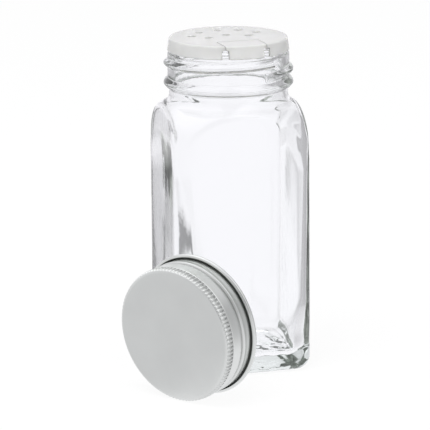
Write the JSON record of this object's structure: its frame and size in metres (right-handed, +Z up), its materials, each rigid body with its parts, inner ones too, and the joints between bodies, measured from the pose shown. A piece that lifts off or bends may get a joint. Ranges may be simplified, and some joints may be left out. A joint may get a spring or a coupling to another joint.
{
  "type": "spice jar",
  "caption": "Square clear-glass spice jar with a round threaded neck, a translucent shaker cap with a hinged pour flap, and a knurled aluminium screw cap standing beside it",
  "frame": {"origin": "centre of the jar's flat base, on the surface it stands on", "axes": "+Z up along the jar's own axis; the jar's faces are square to X and Y, its front face looks along -Y; the loose screw cap stands beyond the front left corner, towards -X and -Y"},
  "size_m": [0.0645, 0.0858, 0.1068],
  "materials": {
    "clear_glass": "clear moulded soda-lime glass",
    "milky_plastic": "translucent natural polyethylene",
    "satin_aluminium": "satin, fine brushed sides",
    "white_foam": "matte expanded polyethylene"
  },
  "bodies": {
    "jar": {"glass_jar": "clear_glass"},
    "sifter": {"sifter_cap": "milky_plastic"},
    "flap": {"pour_flap": "milky_plastic"},
    "liner": {"cap_liner": "white_foam"},
    "cap": {"cap_shell": "satin_aluminium"}
  },
  "joints": [
    {"name": "sifter_lift", "type": "slide", "parent": "jar", "child": "sifter", "axis": [0, 0, 1], "range_m": [0, 0.025]},
    {"name": "flap_open", "type": "hinge", "parent": "sifter", "child": "flap", "pos_m": [0.00092, -0.00875, 0.1068], "axis": [-0.9945, -0.1045, 0], "range_deg": [0, 110]},
    {"name": "cap_draw", "type": "slide", "parent": "jar", "child": "liner", "axis": [-0.7804, -0.6252, 0], "range_m": [0, 0.06]},
    {"name": "cap_turn", "type": "hinge", "parent": "liner", "child": "cap", "pos_m": [-0.0288, -0.0468, 0.02156], "axis": [-0.7769, -0.6224, -0.0954], "continuous": true}
  ]
}
